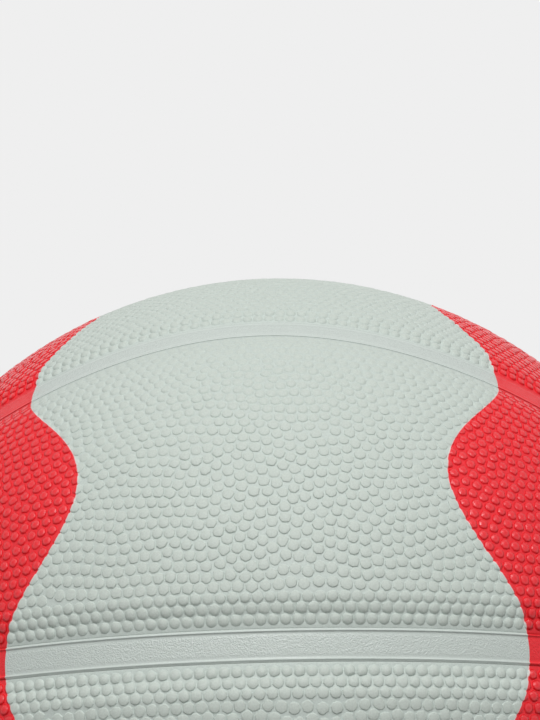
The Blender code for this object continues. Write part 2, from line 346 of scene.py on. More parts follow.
def pebble_centres(layout, depth, stir, seed):
    """Directions of a panel's pebbles, and the row of each (the row is -1 for one that fills a gap)."""
    rng = np.random.default_rng(seed)
    carried = swirl(rng)
    points, rows = [], []
    for row in range(MOST_ROWS):
        inset = FIRST_ROW + SEAM_ROW_STEP * min(row, HELD_ROWS) + ROW_STEP * max(0, row - HELD_ROWS)
        phase = rng.random() if row >= HELD_ROWS else 0.5 * (row % 2)
        line = outline(layout, inset / crown_radius, pitch, phase)
        line = line[depth(line) > inset / crown_radius - ROW_SLACK * pitch]
        if len(line) < FEWEST_POINTS:
            break
        grown = min(1.0, max(0, row - HELD_ROWS + 1) / STIR_ROWS)
        line = carried(line, grown * stir / crown_radius)
        points.append(unit(line + grown * SHAKE / crown_radius * rng.normal(size=line.shape)))
        rows.append(np.full(len(line), row))
    points, rows = settled(np.vstack(points), np.concatenate(rows), ROW_CLOSEST)
    spots = rng.uniform(-1, 1, (FILL_TRIES, 2))
    spots = layout(spots[:, 0], spots[:, 1], (FIRST_ROW + HELD_ROWS * SEAM_ROW_STEP) / crown_radius)
    return settled(np.vstack([points, spots]), np.append(rows, np.full(FILL_TRIES, -1)), FILL_CLOSEST)


long_centres, long_rows = pebble_centres(long_panel, long_depth, STIR, LONG_SEED)
cap_centres, cap_rows = pebble_centres(cap_panel, cap_depth, CAP_STIR, CAP_SEED)
print("long panel:", len(long_centres), "pebbles,", int((long_rows < 0).sum()), "of them fill gaps")
print("cap panel:", len(cap_centres), "pebbles,", int((cap_rows < 0).sum()), "of them fill gaps")

# %% [markdown]
# ## The two colours
#
# The ball is moulded from two rubbers: a pale belt goes round it, and both ends are red. The border bulges
# into the belt in the middle of every panel and draws back at the seams. A painted picture of it would be
# coarse at this size. So each point of the mesh gets its distance from the border, and the material turns
# that into a clean edge.

# %% Colour border
RED_NECK = math.radians(61.3)
LONG_LOBE = math.radians(69.8)  # in the middle of a long panel
CAP_LOBE = math.radians(68.3)
LOOP_BEARING = math.radians(41.6)


def red_depth(direction):
    """How far a direction lies inside the red, in metres on the cover; negative in the pale belt."""
    bearing = np.arctan2(np.abs(direction[:, 2]), np.abs(direction[:, 1]))
    low = bearing < LOOP_BEARING
    share = np.where(low, bearing / LOOP_BEARING, (bearing - LOOP_BEARING) / (math.pi / 2 - LOOP_BEARING))
    lobe = np.where(low, LONG_LOBE, CAP_LOBE)
    border = RED_NECK + (lobe - RED_NECK) * (1 - np.cos(2 * math.pi * share)) / 2
    return (border - np.arccos(np.clip(np.abs(direction[:, 0]), 0, 1))) * crown_radius


print("red pebbles:", int((red_depth(long_centres) > 0).sum()), "of", len(long_centres), "on a long panel,",
      int((red_depth(cap_centres) > 0).sum()), "of", len(cap_centres), "on a cap")

# %% [markdown]
# ## The shape of a pebble
#
# A pebble is a low button with steep sides, a soft shoulder and a nearly flat top. Beside the seams, on the
# red and towards the poles the buttons are rounder. On the red they are taller, and under a loop they are
# low. A bump map could fake this, but the outline of the ball would stay smooth, so each pebble is real
# geometry. Where two almost touch, both are flattened half way between them, which gives the blunt corners
# of the real ones.

# %% Corners of a pebble
RADIUS_SPREAD = 0.04
CORNER_SPREAD = 0.36
FILL = 0.96  # share of the half distance to a neighbour that a pebble may take
NEIGHBOUR_REACH = 1.6  # pitches
LEAST_FACING = 0.15  # cosine: a corner turned farther away from a neighbour isn't cut by it


def pebble_radii(centres, radius, spread, sides, rng):
    """Bearing of each corner of the pebbles, and its distance from the middle, as angles."""
    count = len(centres)
    radius = radius / crown_radius * (1 + RADIUS_SPREAD * rng.normal(size=count))
    bearing = np.arange(sides) + rng.uniform(0, sides, (count, 1))
    bearing = (bearing + spread[:, None] * rng.uniform(-1, 1, (count, sides))) * 2 * math.pi / sides
    reach = np.repeat(radius[:, None], sides, axis=1)
    e1, e2 = tangents(centres)
    i, j = close_pairs(centres, NEIGHBOUR_REACH * pitch)
    apart = centres[j] - centres[i]
    half_way = np.linalg.norm(apart, axis=1)[:, None] / 2
    towards = np.arctan2((apart * e2[i]).sum(1), (apart * e1[i]).sum(1))
    facing = np.cos(bearing[i] - towards[:, None])
    limit = np.where(facing > LEAST_FACING, FILL * half_way / np.maximum(facing, LEAST_FACING), math.inf)
    np.minimum.at(reach, i, limit)
    return bearing, reach


def pebble_ring(centres, bearing, reach):
    e1, e2 = tangents(centres)
    across = np.cos(bearing)[..., None] * e1[:, None] + np.sin(bearing)[..., None] * e2[:, None]
    return unit((centres[:, None] + reach[..., None] * across).reshape(-1, 3))


neighbours = len(close_pairs(long_centres, NEIGHBOUR_REACH * pitch)[0]) / len(long_centres)
print(f"a pebble has {neighbours:.1f} neighbours")

# %% Height and roundness
ROW_LOOKS = ((0.00134, 0.00054, 1.0), (0.00134, 0.00045, 0.8), (0.00132, 0.00036, 0.4))  # along a seam
FIELD_LOOK = (0.00139, 0.00030, 0.0)  # away from it; each look is a radius, a height and a roundness
HEIGHT_SPREAD = 0.12
RED_ROUNDNESS = 0.75
RED_HEIGHT = 1.30  # of the height of a pale pebble
SOFT = (math.radians(20.0), math.radians(36.0), 0.80)  # towards a pole the roundness grows to this
SHALLOW = (math.radians(11.0), math.radians(38.0), 0.86)  # and the height falls to this share
UNDER_LOOP = (0.006, 0.015, 0.35)  # below a loop the height begins at this share


def pebble_forms(centres, rows, sides, rng):
    """Bearing and reach of each corner of a panel's pebbles, and their heights and roundness."""
    looks = np.array(ROW_LOOKS + (FIELD_LOOK,))
    field = len(ROW_LOOKS)
    radius, height, roundness = looks[np.where(rows < 0, field, np.minimum(rows, field))].T
    latitude, _, above_loop = seam_angles(centres)
    red = red_depth(centres) > 0
    roundness = np.maximum(roundness, np.interp(latitude, SOFT[:2], (0.0, SOFT[2])))
    bearing, reach = pebble_radii(centres, radius, CORNER_SPREAD * (1 - roundness), sides, rng)
    roundness = np.maximum(roundness, np.where(red, RED_ROUNDNESS, 0.0))
    height = height * np.where(red, RED_HEIGHT, 1.0)
    height = height * (1 + HEIGHT_SPREAD * rng.normal(size=len(centres)))
    height = height * np.interp(latitude, SHALLOW[:2], (1.0, SHALLOW[2]))
    under_loop = np.interp(-above_loop * crown_radius, UNDER_LOOP[:2], (UNDER_LOOP[2], 1.0))
    height = height * np.where(above_loop < 0, under_loop, 1.0)
    return bearing, reach, height, roundness


print(f"pale pebbles: {ROW_LOOKS[0][1] * 1000:.2f} mm high at a seam, {FIELD_LOOK[1] * 1000:.2f} away")

# %% [markdown]
# ## One panel skin
#
# A panel has a pebbled outside and a plain underside that is bonded to the carcass. Solidify could add the
# underside, but it would copy every pebble to it. And a grid would cut through the pebbles. So the panel is
# flattened with a stereographic projection, which keeps circles round, and a Delaunay triangulation fills
# the floor between their feet. At the rim the floor rolls down to the seam. Each pebble rises from its foot
# in two rings to a point in the middle. Walls join the two sides, at the rim and in the hole for the valve,
# which has a smooth pad round it.

# %% Floor of a panel
CHANNEL_DEPTH = crown_radius - channel_radius
SHOULDER_WIDTH = 0.0075
FLOOR_DROP = 0.00030  # floor between the pebbles below the crown of the solid
SAME_POINT = 1e-9
VALVE_HOLE = 0.0059
PAD_STEP = 0.0010
hole_sides = round(2 * math.pi * VALVE_HOLE / PAD_STEP)
hole_reach = VALVE_HOLE * math.cos(math.pi / hole_sides)  # to the middle of a side of the hole


def panel_floor(depth, direction):
    """Radius of the floor between the pebbles: it rolls down to the channel along the seams."""
    inward = (channel_radius * depth(direction) - channel_radius * rim_inset) / SHOULDER_WIDTH
    fall = (1 + np.cos(math.pi * np.clip(inward, 0, 1))) / 2
    return crown_radius - FLOOR_DROP - (CHANNEL_DEPTH - FLOOR_DROP) * fall


def flatten(direction, axis):
    side, up = tangents(axis[None])
    scale = 1 / (1 + direction @ axis)
    return np.stack([direction @ side[0] * scale, direction @ up[0] * scale], axis=1)


def near_valve(direction, panel, distance):
    """Which directions are closer to the panel's valve than a distance on the cover."""
    if panel.valve is None:
        return np.zeros(len(direction), dtype=bool)
    return np.arccos(np.clip(direction @ panel.valve, -1, 1)) * crown_radius < distance


def loop_edges(loops):
    """Number pairs that join the points of each loop, for loops that follow one another."""
    steps = [np.stack([np.arange(len(loop)), np.roll(np.arange(len(loop)), -1)], axis=1) for loop in loops]
    starts = np.cumsum([0] + [len(loop) for loop in loops])
    return np.vstack([start + step for start, step in zip(starts, steps)])


def floor_triangles(points, loops, panel):
    """Delaunay triangles that keep the loops, without those past the rim or in the valve's hole."""
    flat = [Vector(point) for point in flatten(points, panel.middle).tolist()]
    _, _, faces, origins, _, _ = delaunay_2d_cdt(flat, loop_edges(loops).tolist(), [], 0, SAME_POINT)
    first = np.array([origin[0] if origin else -1 for origin in origins])
    triangles = first[np.array(faces)]
    heart = unit(points[triangles].mean(axis=1))
    return triangles[(panel.depth(heart) >= rim_inset) & ~near_valve(heart, panel, hole_reach)]


print(f"the floor falls {(CHANNEL_DEPTH - FLOOR_DROP) * 1000:.2f} mm to a seam")

# %% Lines in the floor
LIP_WIDTH = 0.00018  # the rim is eased off over this width
LIP_DROP = 0.00010
# rings of the pad: distance from the valve's middle, and how far each is raised
VALVE_PAD = ((VALVE_HOLE, -0.00030), (0.0064, 0.00008), (0.0088, 0.00010), (0.0096, -0.00012), (0.0104, 0.0))
PAD_CLEAR = 0.0118  # no pebble stands closer to the valve than this


def circle(axis, radius):
    count = round(2 * math.pi * radius / PAD_STEP)
    bearing = np.arange(count)[None] * 2 * math.pi / count
    return pebble_ring(axis[None], bearing, np.full((1, count), math.tan(radius / crown_radius)))


def floor_lines(panel):
    """Closed lines in a panel's floor, rim and lip first, and how far each of their points is raised."""
    insets = (rim_inset, rim_inset + LIP_WIDTH / channel_radius)
    lines = [outline(panel.layout, inset, RIM_STEP / crown_radius) for inset in insets]
    lifts = [-LIP_DROP, 0.0]
    if panel.valve is not None:
        lines += [circle(panel.valve, radius) for radius, _ in VALVE_PAD]
        lifts += [lift for _, lift in VALVE_PAD]
    return lines, np.repeat(lifts, [len(line) for line in lines])


print("the pad round the valve has", len(VALVE_PAD), "rings and", hole_sides, "points round its hole")

# %% Rings of a pebble
FLAT_PROFILE = ((0.87, 0.76), (0.73, 0.97))  # shares of the radius and of the height
ROUND_PROFILE = ((0.85, 0.47), (0.53, 0.87))


def ring_sides(outer, inner):
    """Two triangles for each step between two rings of point numbers, one row for each ring pair."""
    ahead_outer = np.roll(outer, -1, axis=1)
    ahead_inner = np.roll(inner, -1, axis=1)
    low = np.stack([outer, ahead_outer, ahead_inner], axis=-1)
    high = np.stack([outer, ahead_inner, inner], axis=-1)
    return np.concatenate([low.reshape(-1, 3), high.reshape(-1, 3)])


def pebble_tops(centres, forms, feet):
    """Directions, lifts, crowns and triangles of the pebbles, above feet that are given by their numbers."""
    bearing, reach, height, roundness = forms
    sides = feet.shape[1]
    total = feet.max() + 1
    directions, lifts, crowns, triangles = [], [], [], []
    outer = feet
    for flat, dome in zip(FLAT_PROFILE, ROUND_PROFILE):
        share = flat[0] + roundness * (dome[0] - flat[0])
        level = flat[1] + roundness * (dome[1] - flat[1])
        directions.append(pebble_ring(centres, bearing, reach * share[:, None]))
        lifts.append(np.repeat(level * height, sides))
        crowns.append(np.repeat(level, sides))
        inner = total + np.arange(feet.size).reshape(feet.shape)
        triangles.append(ring_sides(outer, inner))
        outer = inner
        total += feet.size
    tips = np.broadcast_to((total + np.arange(len(centres)))[:, None], feet.shape)
    triangles.append(np.stack([outer, np.roll(outer, -1, axis=1), tips], axis=-1).reshape(-1, 3))
    crowns.append(np.ones(len(centres)))
    return np.vstack(directions + [centres]), np.concatenate(lifts + [height]), crowns, triangles


print("rings on a pebble:", len(FLAT_PROFILE), "above its foot")

# %% Close a panel
UNDER_CELLS = (28, 10)
UNDER_REACH = 0.9  # of the panel's half width


def underside(panel, lines, first):
    """Points of a panel's inside, numbered from first, its triangles and those of the walls."""
    edges = lines[:1] + lines[2:3]  # the rim, and the hole where there is one
    s, t = np.meshgrid(*[np.linspace(-UNDER_REACH, UNDER_REACH, count) for count in UNDER_CELLS])
    grid = panel.layout(s.ravel(), t.ravel(), rim_inset)
    points = np.vstack(edges + [grid[~near_valve(grid, panel, PAD_CLEAR)]])
    triangles = [first + floor_triangles(points, edges, panel)[:, ::-1]]
    clockwise = np.cross(lines[0], np.roll(lines[0], -1, axis=0)).sum(axis=0) @ panel.middle < 0
    lower = first
    for edge, upper, flip in zip(edges, (0, len(lines[0]) + len(lines[1])), (clockwise, True)):
        at = np.arange(len(edge))[None]
        walls = ring_sides(lower + at, upper + at)
        triangles.append(walls[:, ::-1] if flip else walls)
        lower += len(edge)
    return points, triangles


print("grid on the underside:", UNDER_CELLS[0] * UNDER_CELLS[1], "points")

# %% Build the skins
LONG_SIDES = 10  # corners of a pebble
CAP_SIDES = 11


def panel_plan(layout, depth, valve=None):
    middle = unit(layout(np.zeros(1), np.zeros(1), rim_inset))[0]
    return SimpleNamespace(layout=layout, depth=depth, middle=middle, valve=valve)


def panel_skin(panel, centres, rows, sides, seed):
    """Points, triangles and numbers of a panel in the front upper quarter."""
    clear = ~near_valve(centres, panel, PAD_CLEAR)
    centres = centres[clear]
    forms = pebble_forms(centres, rows[clear], sides, np.random.default_rng(seed))
    lines, lifts = floor_lines(panel)
    feet = pebble_ring(centres, *forms[:2])
    numbers = len(lifts) + np.arange(len(feet)).reshape(-1, sides)
    ground = np.vstack(lines + [feet])
    floor = floor_triangles(ground, lines + list(feet.reshape(-1, sides, 3)), panel)
    owner = np.concatenate([np.full(len(lifts), -1), np.repeat(np.arange(len(centres)), sides)])[floor]
    under_pebble = (owner[:, 0] >= 0) & (owner == owner[:, :1]).all(axis=1)
    above, heights, crowns, triangles = pebble_tops(centres, forms, numbers)
    outside = np.vstack([ground, above])
    inside, more_triangles = underside(panel, lines, len(outside))
    directions = np.vstack([outside, inside])
    radius = panel_floor(panel.depth, outside) + np.concatenate([lifts, np.zeros(len(feet)), heights])
    return SimpleNamespace(
        directions=directions,
        radius=np.concatenate([radius, np.full(len(inside), cover_inner_radius)]),
        crown=np.concatenate([np.zeros(len(ground))] + crowns + [np.zeros(len(inside))]),
        triangles=np.concatenate([floor[~under_pebble]] + triangles + more_triangles),
        flat=flatten(directions, panel.middle),
        outer_count=len(outside),
    )


valve_axis = (to_seam @ np.array([0, 1, 0])) * (1, -1, 1)
valve_plan = panel_plan(long_panel, long_depth, valve_axis)
long_skin = panel_skin(panel_plan(long_panel, long_depth), long_centres, long_rows, LONG_SIDES, seed=21)
valve_skin = panel_skin(valve_plan, long_centres, long_rows, LONG_SIDES, seed=22)
cap_skin = panel_skin(panel_plan(cap_panel, cap_depth), cap_centres, cap_rows, CAP_SIDES, seed=23)
print("triangles:", [len(skin.triangles) for skin in (long_skin, valve_skin, cap_skin)])

# %% [markdown]
# ## Panels in place
#
# Each skin is mirrored into its quarter, tipped with the seams and set on its solid, which it replaces. The
# rear bottom panel is pressed flat where the ball stands. Faces could be added one by one, but a panel has
# well over a hundred thousand, so whole arrays go into the mesh. A flat map is stored with each panel, for
# anyone who wants to bake its colours into a picture.

# %% Place the panels
SHARP_EDGE = math.radians(30)
OUTSIDE_MAP = 0.90  # size of the outside on the flat map
UNDERSIDE_MAP = (0.92, 0.08)  # corner and size of the underside


def new_piece(name, points, triangles, numbers=(), flat=None):
    """A mesh object from arrays of points and triangles, with named numbers at its points."""
    mesh = bpy.data.meshes.new(name)
    mesh.vertices.add(len(points))
    mesh.vertices.foreach_set("co", np.ascontiguousarray(points, dtype=np.float32).ravel())
    mesh.loops.add(triangles.size)
    mesh.loops.foreach_set("vertex_index", np.ascontiguousarray(triangles, dtype=np.int32).ravel())
    mesh.polygons.add(len(triangles))
    mesh.polygons.foreach_set("loop_start", np.arange(0, triangles.size, 3, dtype=np.int32))
    mesh.update(calc_edges=True)
    mesh.validate()
    mesh.shade_smooth()
    mesh.set_sharp_from_angle(angle=SHARP_EDGE)
    for key, values in numbers:
        attribute = mesh.attributes.new(key, "FLOAT", "POINT")
        attribute.data.foreach_set("value", values.astype(np.float32))
    if flat is not None:
        layer = mesh.uv_layers.new(name="OFBake")
        layer.data.foreach_set("uv", flat[triangles.ravel()].astype(np.float32).ravel())
    piece = bpy.data.objects.new(name, mesh)
    bpy.context.scene.collection.objects.link(piece)
    return piece


def place_panel(name, skin, mirror):
    points = skin.directions * mirror * skin.radius[:, None] @ to_world.T
    if name == "rear_bottom_panel":
        points[:, 2] = np.maximum(points[:, 2], foot_height)
    triangles = skin.triangles if np.prod(mirror) > 0 else skin.triangles[:, ::-1]
    flat = (skin.flat - skin.flat.min(axis=0)) / np.ptp(skin.flat, axis=0).max()
    outer = np.arange(len(flat)) < skin.outer_count
    flat = np.where(outer[:, None], flat * OUTSIDE_MAP, UNDERSIDE_MAP[0] + flat * UNDERSIDE_MAP[1])
    numbers = (("crown", skin.crown), ("red", red_depth(skin.directions)))
    piece = new_piece(name + ".skin", points, triangles, numbers, flat)
    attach(piece, "ball")
    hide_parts(name)
    return piece


panels = []
for end, y_side in (("front", 1), ("rear", -1)):
    for level, cap, z_side in (("upper", "top", 1), ("lower", "bottom", -1)):
        long_name = f"{end}_{level}_panel"
        skin = valve_skin if long_name == "rear_upper_panel" else long_skin
        panels.append(place_panel(long_name, skin, (1, y_side, z_side)))
        panels.append(place_panel(f"{end}_{cap}_panel", cap_skin, (1, y_side, z_side)))
for piece in panels:
    print(piece.name, len(piece.data.polygons), "faces")

# %% [markdown]
# ## Seam strips
#
# A strip of the same rubber fills each channel. Its top is plain, a bead runs along both edges where the
# mould closed, and outside the bead a narrow joint parts it from the panel. In the loop seams the bead is
# fainter and the joint deeper. A curve with a bevel object could make it, but its section might twist on the
# ball. So the section is written as angles across the seam and swept along directions. The ring strip runs
# right round, and its beads fade where the others meet it. Those dip a little at their ends, to pass under
# its edge.

# %% Section of a strip
BEAD = (0.00301, 0.00036, 0.00050)  # its distance from the middle, and its width on both sides of that
LOOP_BEAD = (0.00312, 0.00044, 0.00036)
BEAD_HEIGHT = 0.00032
LOOP_BEAD_SHARE = 0.25  # of that height
JOINT_DEPTH = 1.4  # of the bead's height: the joint between a bead and the panel
LOOP_JOINT_DEPTH = 2.3
JOINT_STEP = 0.00005
JOINT_END = 0.00377
PLAIN_POINTS = 4
RIDGE_POINTS = 12


def strip_section(bead_place, joint_depth):
    """Places across a strip, as angles from its middle, and the share of the bead's height at each."""
    crest, inner, outer = bead_place
    plain = np.linspace(0, crest - inner, PLAIN_POINTS)
    ridge = np.linspace(-1, 1, RIDGE_POINTS + 1)[1:]
    flank = crest + ridge * np.where(ridge < 0, inner, outer)
    joint = np.array([crest + outer + JOINT_STEP, JOINT_END])
    across = np.concatenate([plain, flank, joint])
    swell = np.cos(ridge * math.pi / 2) ** 2
    bead = np.concatenate([np.zeros(PLAIN_POINTS), swell, np.full(2, -joint_depth)])
    across = np.concatenate([-across[:0:-1], across])
    bead = np.concatenate([bead[:0:-1], bead])
    return across / channel_radius, bead


print("points across a strip:", len(strip_section(BEAD, JOINT_DEPTH)[0]))

# %% Sweep a strip
END_DIP = 0.00004
MAP_ACROSS = (0.02, 0.98)  # where the first and last points of a ring lie on the flat map


def end_triangles(ring, flip):
    """Triangles over the end of a strip, whose ring runs along the top and back along the bottom."""
    top = ring[:len(ring) // 2]
    bottom = ring[::-1][:len(top)]
    corners = [top[:-1], top[1:], bottom[1:], top[:-1], bottom[1:], bottom[:-1]]
    return np.stack(corners, axis=-1).reshape(-1, 3)[:, ::flip]


def sweep_strip(name, line, closed, section, bead_share):
    """A strip along a line that may run right round; bead_share says how much is left of its beads."""
    ahead = np.roll(line, -1, axis=0) - np.roll(line, 1, axis=0)
    if not closed:
        ahead[0] = line[1] - line[0]
        ahead[-1] = line[-1] - line[-2]
    normal = unit(np.cross(line, unit(ahead)))
    across, bead = section
    directions = line[:, None] * np.cos(across)[:, None] + normal[:, None] * np.sin(across)[:, None]
    radius = channel_radius + np.where(bead > 0, bead * bead_share[:, None], bead) * BEAD_HEIGHT
    if not closed:
        radius[:2] -= END_DIP
        radius[-2:] -= END_DIP
    top = directions * radius[..., None]
    bottom = directions[:, ::-1] * cover_inner_radius
    points = np.concatenate([top, bottom], axis=1).reshape(-1, 3) @ to_world.T
    size = 2 * len(across)
    rings = np.arange(len(line) * size).reshape(-1, size)
    following = np.roll(rings, -1, axis=0)
    triangles = ring_sides(rings if closed else rings[:-1], following if closed else following[:-1])[:, ::-1]
    if not closed:
        ends = [end_triangles(rings[0], 1), end_triangles(rings[-1], -1)]
        triangles = np.concatenate([triangles] + ends)
    u, v = np.meshgrid(np.linspace(0, 1, len(line)), np.linspace(*MAP_ACROSS, size), indexing="ij")
    red = red_depth(np.concatenate([directions, directions[:, ::-1]], axis=1).reshape(-1, 3))
    edge = np.tile(np.abs(across), (len(line), 2)).ravel() * channel_radius
    flat = np.stack([u, v], axis=-1).reshape(-1, 2)
    piece = new_piece(name + ".band", points, triangles, (("red", red), ("edge", edge)), flat)
    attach(piece, "ball")
    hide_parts(name)
    return piece


print(f"strips are {(channel_radius - cover_inner_radius) * 1000:.1f} mm thick")

# %% Place the strips
STRIP_STEP = 0.0011
LINE_POINTS = 2001
STRIP_END = 0.9  # half widths of the ring strip, from its middle
CROSSING = (0.86, 0.22)  # half widths from a crossing to where a bead begins, and over which it rises

half = strip_half_width / channel_radius
step = STRIP_STEP / channel_radius
fine = np.linspace(-1, 1, LINE_POINTS)
ring_line = even_steps(ring_direction(fine[:-1] * math.pi, np.zeros(LINE_POINTS - 1)), step, True)
latitude = np.abs(np.arcsin(ring_line[:, 2]))
from_crossing = np.minimum(latitude, np.abs(latitude - loop_latitude(math.pi / 2))) / half
ring_bead = np.clip((from_crossing - CROSSING[0]) / CROSSING[1], 0, 1)
belt_section = strip_section(BEAD, JOINT_DEPTH)
loop_section = strip_section(LOOP_BEAD, LOOP_JOINT_DEPTH)
belt_reach = math.pi / 2 - STRIP_END * half
loop_reach = math.pi / 2 - STRIP_END * half / math.cos(loop_latitude(math.pi / 2))
belt_line = belt_direction(np.zeros(LINE_POINTS), fine * belt_reach)
loop_line = belt_direction(loop_latitude(fine * loop_reach), fine * loop_reach)
strips = [sweep_strip("ring_strip", ring_line, True, belt_section, ring_bead)]
for end, y_side in (("front", 1), ("rear", -1)):
    line = even_steps(belt_line * (1, y_side, 1), step, False)
    strips.append(sweep_strip(f"belt_strip_{end}", line, False, belt_section, np.ones(len(line))))
    for level, z_side in (("upper", 1), ("lower", -1)):
        line = even_steps(loop_line * (1, y_side, z_side), step, False)
        share = np.full(len(line), LOOP_BEAD_SHARE)
        strips.append(sweep_strip(f"{level}_loop_strip_{end}", line, False, loop_section, share))
for piece in strips:
    print(piece.name, len(piece.data.polygons), "faces")

# %% [markdown]
# ## Valve and plug
#
# The valve is a turned rubber piece with a plug pressed into it, and a needle goes through the plug. The
# solids have the right shape, but their edges are knife sharp. A Bevel modifier could round them. Here the
# outlines are drawn again with small rounded corners, as moulded rubber has them, and turned, which gives
# clean, even faces.

# %% Turn an outline
TURN_STEPS = 72
ARC_POINTS = 4
EDGE_RADIUS = 0.00025
CORNER_SHARE = 0.45  # of a short side that the rounding of a corner may take


def rounded(corners):
    """A closed outline of (radius, height) points with its corners rounded."""
    corners = np.array(corners)
    points = []
    for k, corner in enumerate(corners):
        back = corners[k - 1] - corner
        ahead = corners[(k + 1) % len(corners)] - corner
        cut = min(EDGE_RADIUS, CORNER_SHARE * np.linalg.norm(back), CORNER_SHARE * np.linalg.norm(ahead))
        start = corner + back / np.linalg.norm(back) * cut
        end = corner + ahead / np.linalg.norm(ahead) * cut
        for t in np.linspace(0, 1, ARC_POINTS):
            points.append((1 - t) ** 2 * start + 2 * t * (1 - t) * corner + t**2 * end)
    return np.array(points)


def turned(name, node, corners, body):
    """A closed ring turned about +Y."""
    section = rounded(corners)
    angle = np.arange(TURN_STEPS) * 2 * math.pi / TURN_STEPS
    around = np.stack([np.cos(angle), np.zeros(TURN_STEPS), np.sin(angle)], axis=1)
    points = section[None, :, :1] * around[:, None] + section[None, :, 1:] * np.array([0, 1, 0])
    numbers = np.arange(TURN_STEPS * len(section)).reshape(TURN_STEPS, -1)
    triangles = ring_sides(numbers, np.roll(numbers, -1, axis=0))[:, ::-1]
    piece = new_piece(name, points.reshape(-1, 3), triangles)
    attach(piece, body)
    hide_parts(node)
    return piece


print("a turned piece has", TURN_STEPS, "steps, with corners of", EDGE_RADIUS * 1000, "mm")

# %% Valve and plug
NECK_RADIUS = 0.0055
BORE_RADIUS = 0.0035
SEAT_RADIUS = 0.0045
SEAT_DEPTH = 0.0013  # below the top of the plug
FLANGE_TOP = 0.0075  # above the bottom of the valve
FLANGE_BOTTOM = 0.0060
FLANGE_SLOPE = ((NECK_RADIUS, 0.0008), (0.0100, 0.0005))  # radius, and height above the flange's edge
HEAD_DEPTH = 0.0010
SHANK_RADIUS = 0.0032
NEEDLE_RADIUS = 0.0008
NEEDLE_MOUTH = (0.0016, 0.0008)  # radius and depth of the funnel that guides the needle

valve_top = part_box("valve_body")[1].y
valve_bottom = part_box("valve_body")[0].y
flange_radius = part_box("valve_body")[1].x
plug_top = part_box("valve_plug")[1].y
plug_head_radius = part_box("valve_plug")[1].x
flange_edge = valve_bottom + FLANGE_TOP
valve_corners = (
    (NECK_RADIUS, valve_top),
    *[(radius, flange_edge + rise) for radius, rise in FLANGE_SLOPE],
    (flange_radius, flange_edge),
    (flange_radius, valve_bottom + FLANGE_BOTTOM),
    (NECK_RADIUS, valve_bottom + FLANGE_BOTTOM),
    (NECK_RADIUS, valve_bottom),
    (BORE_RADIUS, valve_bottom),
    (BORE_RADIUS, plug_top - SEAT_DEPTH),
    (SEAT_RADIUS, plug_top - SEAT_DEPTH),
    (SEAT_RADIUS, valve_top),
)
plug_corners = (
    (plug_head_radius, plug_top),
    (plug_head_radius, plug_top - HEAD_DEPTH),
    (SHANK_RADIUS, plug_top - HEAD_DEPTH),
    (SHANK_RADIUS, valve_bottom),
    (NEEDLE_RADIUS, valve_bottom),
    (NEEDLE_RADIUS, plug_top - NEEDLE_MOUTH[1]),
    (NEEDLE_MOUTH[0], plug_top),
)
valve = turned("valve_body.rubber", "valve_body", valve_corners, "ball")
plug = turned("valve_plug.rubber", "valve_plug", plug_corners, "valve_plug")
print("valve", len(valve.data.polygons), "faces, plug", len(plug.data.polygons), "faces")

# %% [markdown]
# ## Materials
#
# Moulded rubber is not one flat colour. It is faintly cloudy and finely flecked, and its shine changes over
# each pebble. This could be painted, but here it comes from a few noises and the numbers stored in the mesh,
# so it is as fine close up as from afar. Helpers that add a node each come first, because node trees built
# line by line get long.

# %% Node helpers
def new_material(name):
    material = bpy.data.materials.new(name)
    material.use_nodes = True
    return material, material.node_tree, material.node_tree.nodes["Principled BSDF"]


def add_node(tree, kind, inputs=(), **settings):
    node = tree.nodes.new(kind)
    for key, value in settings.items():
        setattr(node, key, value)
    for key, value in inputs:
        if isinstance(value, bpy.types.NodeSocket):
            tree.links.new(value, node.inputs[key])
        else:
            node.inputs[key].default_value = value
    return node


def number_of(tree, key):
    return add_node(tree, "ShaderNodeAttribute", attribute_name=key).outputs["Fac"]


def object_place(tree):
    return add_node(tree, "ShaderNodeTexCoord").outputs["Object"]


def noise(tree, scale, detail=2.0):
    inputs = (("Vector", object_place(tree)), ("Scale", scale), ("Detail", detail), ("Roughness", 0.5))
    return add_node(tree, "ShaderNodeTexNoise", inputs).outputs["Fac"]


def combined(tree, operation, *values):
    return add_node(tree, "ShaderNodeMath", enumerate(values), operation=operation).outputs[0]


def span(tree, value, low, high, start, end, smooth=False):
    """A value from low to high turned into a number from start to end."""
    inputs = (("Value", value), ("From Min", low), ("From Max", high), ("To Min", start), ("To Max", end))
    kind = "SMOOTHSTEP" if smooth else "LINEAR"
    return add_node(tree, "ShaderNodeMapRange", inputs, interpolation_type=kind).outputs["Result"]


def mixed(tree, share, first, second, blend="MIX"):
    """Colour between two colours, each of them a socket or three numbers."""
    inputs = [(0, share)]
    for number, value in ((6, first), (7, second)):  # a Mix node takes colours at these two inputs
        inputs.append((number, (*value, 1.0) if isinstance(value, tuple) else value))
    return add_node(tree, "ShaderNodeMix", inputs, data_type="RGBA", blend_type=blend).outputs[2]


def bump(tree, height, distance):
    return add_node(tree, "ShaderNodeBump", (("Height", height), ("Distance", distance))).outputs["Normal"]


def link(tree, shader, **sockets):
    for key, value in sockets.items():
        tree.links.new(value, shader.inputs[key.replace("_", " ")])


print("materials before this lesson's own:", len(bpy.data.materials))
